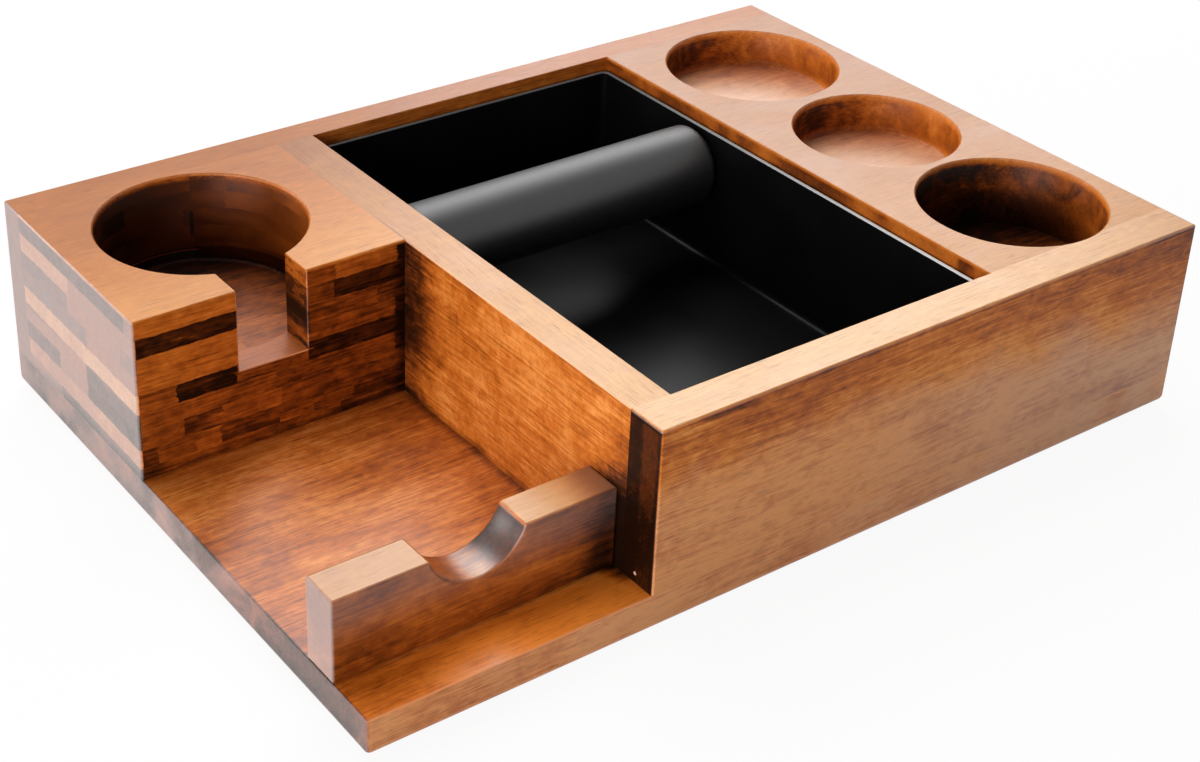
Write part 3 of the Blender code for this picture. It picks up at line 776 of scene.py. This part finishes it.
def base_rich(graph):
    """One on the strip of the base before the handle rest."""
    beside_front = graph.remap(graph.x, FRONT_LOW.x + 0.5, FRONT_LOW.x - 0.5)
    return graph.product(on_upper(graph, CASE_HIGH.z), before_rest(graph), beside_front)


def base_side(graph):
    """How grey the base's left side is, as painted reflection: all of it at the back, half of it near the
    front.
    """
    return graph.remap(graph.swing(graph.y, 160.0), -60.0, 20.0, 0.55, 1.0, smooth=True)


def back_shade(graph, value):
    """The back board's left end is darker than its long faces."""
    return graph.darker(value, on_face(graph, graph.x, BACK_LOW.x, 0.8), 0.30)


def coated_black(rim_height):
    """The bin's satin black coating, with a very fine orange-peel, and steel on its rim, partly painted
    highlight.
    """
    graph = Graph("black coating")
    rim = graph.remap(graph.z, rim_height - 0.4, rim_height - 0.15)
    # The rim's steel is paler toward the front: painted highlight
    steel = along_axis(graph, graph.y, [(-100, 0.70), (-5, 0.42), (90, 0.10)])
    peel = graph.noise(graph.mm, (1.6, 1.6, 1.6))
    cloud = graph.noise(graph.mm, (0.03, 0.03, 0.03))
    graph.set(
        Base_Color=graph.blend(rim, graph.ramp(cloud, [(0.3, 0.003), (0.7, 0.005)]), steel),
        Roughness=graph.remap(cloud, 0.3, 0.7, 0.26, 0.33),
        Normal=graph.bump(peel, 0.02 * MM, 0.3),
        Specular_IOR_Level=0.09,
    )
    return graph.material


def dark_rubber(name, light, gloss=0.5):
    """Matte rubber with a fine skin, drawn out along x."""
    graph = Graph(name)
    skin = graph.noise(graph.mm, (0.6, 2.2, 2.2), detail=3.0)
    graph.set(
        Base_Color=graph.ramp(skin, [(0.35, 0.75 * light), (0.65, 1.15 * light)]),
        Roughness=graph.remap(skin, 0.3, 0.7, 0.42, 0.50),
        Normal=graph.bump(skin, 0.03 * MM, 0.4),
        Specular_IOR_Level=gloss,
    )
    return graph.material


def bright_steel():
    """Turned or plated steel with fine marks."""
    graph = Graph("bright steel")
    marks = graph.noise(graph.mm, (6.0, 6.0, 6.0), detail=3.0)
    graph.set(
        Base_Color=graph.ramp(marks, [(0.3, (0.50, 0.50, 0.52)), (0.7, (0.68, 0.68, 0.70))]),
        Roughness=graph.remap(marks, 0.3, 0.7, 0.22, 0.38),
        Metallic=1.0,
        Normal=graph.bump(marks, 0.02 * MM, 0.3),
    )
    return graph.material


def in_seam(node, side):
    """Whether an edge of a board runs along one of the other boards."""
    ends = [vertex.co / MM for vertex in side.verts]
    places = ends + [(ends[0] + ends[1]) / 2]
    others = [box for other, box in BOARDS.items() if other != node]

    def beside(place, low, high):
        return all(low[axis] - NEAR < place[axis] < high[axis] + NEAR for axis in range(3))

    return all(any(beside(place, low, high) for low, high in others) for place in places)


def at_height(place, *heights):
    """Whether a place in millimetres is at one of the heights."""
    return any(abs(place.z - height) < 0.05 for height in heights)


def round_edges(edit, edges, width):
    """Rounds the given edges of a mesh under edit by a width in millimetres."""
    bmesh.ops.bevel(
        edit,
        geom=edges,
        offset=width * MM,
        offset_type="OFFSET",
        segments=ROUND_SEGMENTS,
        profile=0.5,
        affect="EDGES",
        clamp_overlap=False,
        loop_slide=False,
    )
    bmesh.ops.remove_doubles(edit, verts=edit.verts, dist=MERGE)


def cut_across(edit, axis, at):
    """Cuts a mesh under edit along a plane, given by its axis and place in millimetres."""
    place, normal = Vector((0, 0, 0)), Vector((0, 0, 0))
    place[axis], normal[axis] = at * MM, 1.0
    everything = edit.verts[:] + edit.edges[:] + edit.faces[:]
    bmesh.ops.bisect_plane(edit, geom=everything, dist=MERGE, plane_co=place, plane_no=normal)


def round_sharp(edit, node, width, cove, floors):
    """Rounds the outer edges that lie in no seam, and by the cove's width the inner ones at the floors."""
    kept = edit.edges.layers.int.new("rounded")
    sharp = [
        side for side in edit.edges
        if side.is_manifold and side.calc_face_angle(0.0) > SHARP_ABOVE and not in_seam(node, side)
    ]
    inner = [
        side for side in sharp
        if side.calc_face_angle_signed(0.0) < 0
        and any(all(at_height(vertex.co / MM, floor) for vertex in side.verts) for floor in floors)
    ]
    outer = [side for side in sharp if side.calc_face_angle_signed(0.0) > 0]
    for side in outer:
        side[kept] = 1
    if inner:
        round_edges(edit, inner, cove)
    left = [side for side in edit.edges if side[kept] and side.calc_face_angle(0.0) > SHARP_ABOVE]
    round_edges(edit, left, width)
    edit.edges.layers.int.remove(kept)


def finer(
    node, materials, seams=(), cuts=(), width=BOARD_ROUND, cove=0.0, floors=(), dull=None, body="case",
):
    """A copy of a CAD piece with its seams nearly closed and its sharp edges rounded, which stands for it.

    A seam is (axis, where the face is, where it goes). Cuts are (axis, place), where an edge stops running
    along a neighbour. Faces whose middle is dull take the second material. All is in millimetres.
    """
    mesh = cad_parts[node].data.copy()
    edit = bmesh.new()
    edit.from_mesh(mesh)
    bmesh.ops.remove_doubles(edit, verts=edit.verts, dist=MERGE)
    bmesh.ops.dissolve_limit(edit, angle_limit=FLAT_BELOW, verts=edit.verts, edges=edit.edges)
    for axis, at in cuts:
        cut_across(edit, axis, at)
    bmesh.ops.recalc_face_normals(edit, faces=edit.faces)
    round_sharp(edit, node, width, cove, floors)
    for axis, at, to in seams:
        for vertex in edit.verts:
            if abs(vertex.co[axis] / MM - at) < 0.01:
                vertex.co[axis] = to * MM
    edit.to_mesh(mesh)
    edit.free()
    mesh.materials.clear()
    for material in materials:
        mesh.materials.append(material)
    mesh.set_sharp_from_angle(angle=ROUND_BELOW)
    for face in mesh.polygons:
        square = max(abs(part) for part in face.normal) > SQUARE
        face.use_smooth = not (square and (abs(face.normal.z) > 0.5 or face.area > FLAT_AREA))
        face.material_index = int(bool(dull and dull(face.center / MM)))
    piece = bpy.data.objects.new(node + "_finished", mesh)
    bpy.context.scene.collection.objects.link(piece)
    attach(piece, body)
    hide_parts(node)
    return piece


def dress(node, material):
    """Gives a CAD node that is shown as it is its finished material."""
    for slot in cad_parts[node].material_slots:
        slot.material = material


def square_corners(piece):
    """Draws the upright corners of the base out from the CAD's rounding at its foot to the boards' own."""
    for vertex in piece.data.vertices:
        place = vertex.co / MM
        to_x = CASE_HIGH.x - abs(place.x)
        to_y = CASE_HIGH.y - abs(place.y)
        if max(to_x, to_y) > CORNER_WIDE + 0.05:
            continue
        rise = min(max((place.z - CASE_LOW.z) / CORNER_WIDE, 0.0), 1.0)
        keep = 1.0 + (CORNER_NARROW / CORNER_WIDE - 1.0) * rise
        place.x = math.copysign(CASE_HIGH.x - to_x * keep, place.x)
        place.y = math.copysign(CASE_HIGH.y - to_y * keep, place.y)
        vertex.co = place * MM


def make_case():
    half = SEAM / 2
    under_top = TOP - BOARD_ROUND
    well_under = TOP - 2 * BOARD_ROUND
    to_base = (2, BLOCK_LOW.z, CASE_HIGH.z + half)
    behind = BACK_LOW.y - half
    before = FRONT_HIGH.y + half
    beside = PARTITION_LOW.x - half
    block = finer(
        "portafilter_block",
        woods(
            "block_wood", block_shade, staves=block_staves, upper_stain=MIDDLE_STAIN_AND_SHEEN,
            marks=0.8, gloss=0.52, dull_gloss=0.08,
            top=("y", [(20, 0.86), (50, 0.72), (80, 0.60), (107, 0.58)]),
            pools=[("x", BLOCK_HIGH.x, 6, 0.22), ("z", BLOCK_LOW.z, 4, 0.15)],
            worn=[
                ("y", BLOCK_LOW.y, "x", SLOT_RIGHT, "z", SLOT_FLOOR + 0.4, TOP),
                ("y", BLOCK_LOW.y, "x", SLOT_LEFT, "z", SLOT_FLOOR + 0.4, TOP),
                ("y", BLOCK_LOW.y, "z", SLOT_FLOOR, "x", SLOT_LEFT, SLOT_RIGHT),
            ],
        ),
        [to_base, (0, BLOCK_HIGH.x, beside), (1, BLOCK_HIGH.y, behind)],
        cove=SEAT_COVE,
        floors=[SEAT_FLOOR],
        dull=lambda place: (
            place.x > BLOCK_LOW.x + SKIN and place.z < under_top
            and not at_height(place, SEAT_FLOOR, SLOT_FLOOR)
        ),
    )
    tools = finer(
        "tool_block",
        woods(
            "tool_block_wood", tool_shade, tone=0.72, shift=(40, 0, 0), haze=tool_haze,
            figure=0.9, marks=0.6, gloss=0.60, dull_gloss=0.12,
            top=("y", [(-104, 0.76), (0, 0.59), (107, 0.54)]),
        ),
        [to_base, (1, TOOL_HIGH.y, behind), (1, TOOL_LOW.y, before)],
        cove=RECESS_COVE,
        floors=[SHALLOW_FLOOR],
        dull=lambda place: place.z < under_top and not at_height(place, SHALLOW_FLOOR),
    )
    partition = finer(
        "partition_board",
        woods(
            "partition_wood", partition_shade, along="y", tone=0.72, shift=(0, 30, 9),
            figure=1.15, gloss=0.62,
            top=("y", [(-104, 0.90), (0, 0.78), (107, 0.50)]),
            pools=[
                ("y", BLOCK_LOW.y, 25, 0.40), ("z", CASE_HIGH.z, 4, 0.3), ("y", PARTITION_LOW.y, 26, 0.12),
            ],
            worn=[("x", PARTITION_LOW.x, "z", TOP, "y", PARTITION_LOW.y, BLOCK_LOW.y)],
        ),
        [to_base, (1, PARTITION_HIGH.y, behind), (1, PARTITION_LOW.y, before)],
        cuts=[(1, BLOCK_LOW.y)],
        dull=lambda place: place.z < under_top,
    )
    front = finer(
        "front_board",
        woods(
            "front_wood", front_shade, tone=0.66, shift=(0, 7, 70), haze=front_haze,
            figure=1.2, gloss=0.85, dull_gloss=0.13,
            top=("x", [(-69, 0.92), (60, 0.92), (170, 0.80)]),
        ),
        [to_base],
        cuts=[(0, PARTITION_HIGH.x), (0, TOOL_LOW.x)],
        dull=lambda place: place.z < well_under,
    )
    back = finer(
        "back_board",
        woods(
            "back_wood", back_shade, tone=0.64, shift=(90, 3, 0), upper_stain=MIDDLE_STAIN_AND_SHEEN,
            figure=0.8, gloss=0.5,
            top=("x", [(-170, 0.57), (-60, 0.52), (40, 0.52), (100, 0.57), (170, 0.57)]),
        ),
        [to_base],
        cuts=[(0, PARTITION_LOW.x), (0, PARTITION_HIGH.x), (0, TOOL_LOW.x)],
        dull=lambda place: place.x > BACK_LOW.x + SKIN and place.z < well_under,
    )
    rest = finer(
        "handle_rest",
        woods(
            "rest_wood", rest_shade, tone=0.62, shift=(11, 5, 33), haze=rest_haze,
            figure=0.8, marks=0.6, dull_gloss=0.2,
            top=("x", [(-170, 0.74), (-142, 0.76), (-100, 0.86), (-69, 0.84)]), top_at=REST_HIGH.z,
            worn=[("y", REST_LOW.y, "z", REST_HIGH.z, "x", REST_LOW.x, REST_HIGH.x)],
        ),
        [to_base, (0, REST_HIGH.x, beside)],
        dull=lambda place: (
            min(place.y - REST_LOW.y, place.x - REST_LOW.x) < 0.3 and place.z < REST_HIGH.z - BOARD_ROUND
        ),
    )
    base = finer(
        "base_board",
        woods(
            "base_wood", base_shade, tone=0.70, shift=(0, 60, 20),
            haze=base_haze, side=base_side, rich=base_rich,
            figure=1.15, marks=1.3, gloss=0.62, dull_gloss=0.20,
            worn=[("y", CASE_LOW.y, "z", CASE_HIGH.z, "x", CASE_LOW.x, PARTITION_LOW.x)],
        ),
        cuts=[(0, FRONT_LOW.x), (1, BLOCK_LOW.y), (1, REST_LOW.y)],
        dull=lambda place: place.y < REST_LOW.y or place.x < CASE_LOW.x + 0.3,
    )
    square_corners(base)


def make_sleeve(rubber):
    """The knock bar's sleeve with rounded ends, turned about the bar's axis."""
    low, high = corners("knock_bar_sleeve")
    middle = (low + high) / 2
    places = [vertex.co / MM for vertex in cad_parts["knock_bar_sleeve"].data.vertices]
    bore = min(math.hypot(place.y - middle.y, place.z - middle.z) for place in places)
    ring = (high.z - low.z) / 2 - SLEEVE_ROUND
    arc = [math.radians(90 * step / SLEEVE_STEPS) for step in range(SLEEVE_STEPS + 1)]
    ends = [(SLEEVE_ROUND * (1 - math.sin(a)), ring + SLEEVE_ROUND * math.cos(a)) for a in arc]
    profile = [(low.x, bore)]
    profile += [(low.x + inwards, out) for inwards, out in reversed(ends)]
    profile += [(high.x - inwards, out) for inwards, out in ends]
    profile += [(high.x, bore)]
    turns = [2 * math.pi * step / SLEEVE_TURNS for step in range(SLEEVE_TURNS)]
    edit = bmesh.new()
    rings = [
        [
            edit.verts.new(Vector((along, middle.y + out * math.cos(t), middle.z + out * math.sin(t))) * MM)
            for t in turns
        ]
        for along, out in profile
    ]
    for first, second in zip(rings, rings[1:] + rings[:1]):
        for step in range(SLEEVE_TURNS):
            after = (step + 1) % SLEEVE_TURNS
            edit.faces.new((first[step], first[after], second[after], second[step]))
    bmesh.ops.recalc_face_normals(edit, faces=edit.faces)
    mesh = bpy.data.meshes.new("knock_bar_rubber")
    edit.to_mesh(mesh)
    edit.free()
    mesh.materials.append(rubber)
    mesh.shade_smooth()
    mesh.set_sharp_from_angle(angle=ROUND_BELOW)
    piece = bpy.data.objects.new("knock_bar_rubber", mesh)
    bpy.context.scene.collection.objects.link(piece)
    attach(piece, "lift_out_bin")
    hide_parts("knock_bar_sleeve")


def make_bin():
    black = coated_black(corners("knock_bin")[1].z)
    shell = finer("knock_bin", [black], width=BIN_ROUND, body="lift_out_bin")
    shell.name = "knock_bin_shell"
    make_sleeve(dark_rubber("bar rubber", 0.008, 0.85))


def make_hardware():
    steel = bright_steel()
    rubber = dark_rubber("pad rubber", 0.04)
    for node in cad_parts:
        if "screw" in node or node == "knock_bar_core":
            dress(node, steel)
        if node.startswith("foot_pad"):
            dress(node, rubber)


def seen_rays(nodes):
    """One for camera, glossy and transmission rays, and nothing for all others."""
    rays = nodes.add("ShaderNodeLightPath").outputs
    return nodes.most(rays["Is Camera Ray"], rays["Is Glossy Ray"], rays["Is Transmission Ray"])


def overhead_shade(nodes):
    """White for the camera, and for other rays a grey that deepens overhead."""
    way = nodes.add("ShaderNodeTexCoord").outputs["Generated"]
    grey = nodes.remap(nodes.split(way)["Z"], 0.60, 0.95, 1.0, 0.35)
    return nodes.most(grey, nodes.add("ShaderNodeLightPath").outputs["Is Camera Ray"])


# The world's strength where it only lights the object, and the glowing share of the floor as it is seen
WORLD_STRENGTH = 0.10
FLOOR_GLOW = 0.93
FLOOR_SIZE = 12.0


def make_world():
    """White where it is seen or mirrored, and a faint light on the object otherwise."""
    world = bpy.data.worlds.new("studio")
    bpy.context.scene.world = world
    world.use_nodes = True
    nodes = Nodes(world.node_tree)
    background = nodes.tree.nodes["Background"].inputs
    nodes.plug(background["Strength"], nodes.remap(seen_rays(nodes), 0.0, 1.0, WORLD_STRENGTH, 1.0))
    nodes.plug(background["Color"], overhead_shade(nodes))


def make_floor():
    """A pale floor that shows the object's shadow faintly."""
    bpy.ops.mesh.primitive_plane_add(size=FLOOR_SIZE)
    floor = bpy.context.object
    floor.name = "floor"
    material = bpy.data.materials.new("floor")
    material.use_nodes = True
    nodes = Nodes(material.node_tree)
    nodes.tree.nodes.clear()
    diffuse = nodes.add("ShaderNodeBsdfDiffuse")
    nodes.plug(diffuse.inputs["Color"], (0.9, 0.9, 0.9, 1.0))
    glow = nodes.add("ShaderNodeEmission")
    nodes.plug(glow.inputs["Color"], (1.0, 1.0, 1.0, 1.0))
    mix = nodes.add("ShaderNodeMixShader")
    nodes.plug(mix.inputs[0], nodes.product(seen_rays(nodes), FLOOR_GLOW))
    nodes.plug(mix.inputs[1], diffuse.outputs[0])
    nodes.plug(mix.inputs[2], glow.outputs[0])
    nodes.plug(nodes.add("ShaderNodeOutputMaterial").inputs["Surface"], mix.outputs[0])
    floor.data.materials.append(material)


# The softboxes: name, azimuth and elevation in degrees, width and height in metres, watts
SOFTBOXES = (
    ("back softbox", 90, 65, 0.9, 0.9, 14.0),
    ("left softbox", 200, 12, 1.2, 0.6, 13.0),
    ("far softbox", 45, 36, 0.7, 0.7, 6.0),
    ("side softbox", 135, 10, 0.7, 0.5, 4.0),
)
SOFTBOX_DISTANCE = 1.3
SOFTBOX_AIM = Vector((0.0, 0.0, 0.04))


def make_lights():
    for name, azimuth, elevation, width, height, power in SOFTBOXES:
        turn, rise = math.radians(azimuth), math.radians(elevation)
        way = Vector((math.cos(turn) * math.cos(rise), math.sin(turn) * math.cos(rise), math.sin(rise)))
        data = bpy.data.lights.new(name, "AREA")
        data.shape = "RECTANGLE"
        data.size, data.size_y = width, height
        data.energy = power
        light = bpy.data.objects.new(name, data)
        bpy.context.scene.collection.objects.link(light)
        light.location = SOFTBOX_AIM + way * SOFTBOX_DISTANCE
        light.rotation_euler = (-way).to_track_quat("-Z", "Y").to_euler()


def make_camera():
    data = bpy.data.cameras.new("camera")
    data.lens = CAMERA_LENS
    data.shift_x, data.shift_y = CAMERA_SHIFT
    data.clip_start, data.clip_end = CAMERA_RANGE
    camera = bpy.data.objects.new("camera", data)
    bpy.context.scene.collection.objects.link(camera)
    turn = Matrix.Rotation(math.radians(-CAMERA_AZIMUTH), 4, "Z")
    tilt = Matrix.Rotation(math.radians(90 - CAMERA_ELEVATION), 4, "X")
    roll = Matrix.Rotation(math.radians(CAMERA_ROLL), 4, "Z")
    camera.matrix_world = Matrix.Translation(CAMERA_PLACE) @ turn @ tilt @ roll
    bpy.context.scene.camera = camera


make_case()
make_bin()
make_hardware()
make_world()
make_floor()
make_lights()
make_camera()
bpy.context.scene.view_settings.view_transform = "Standard"
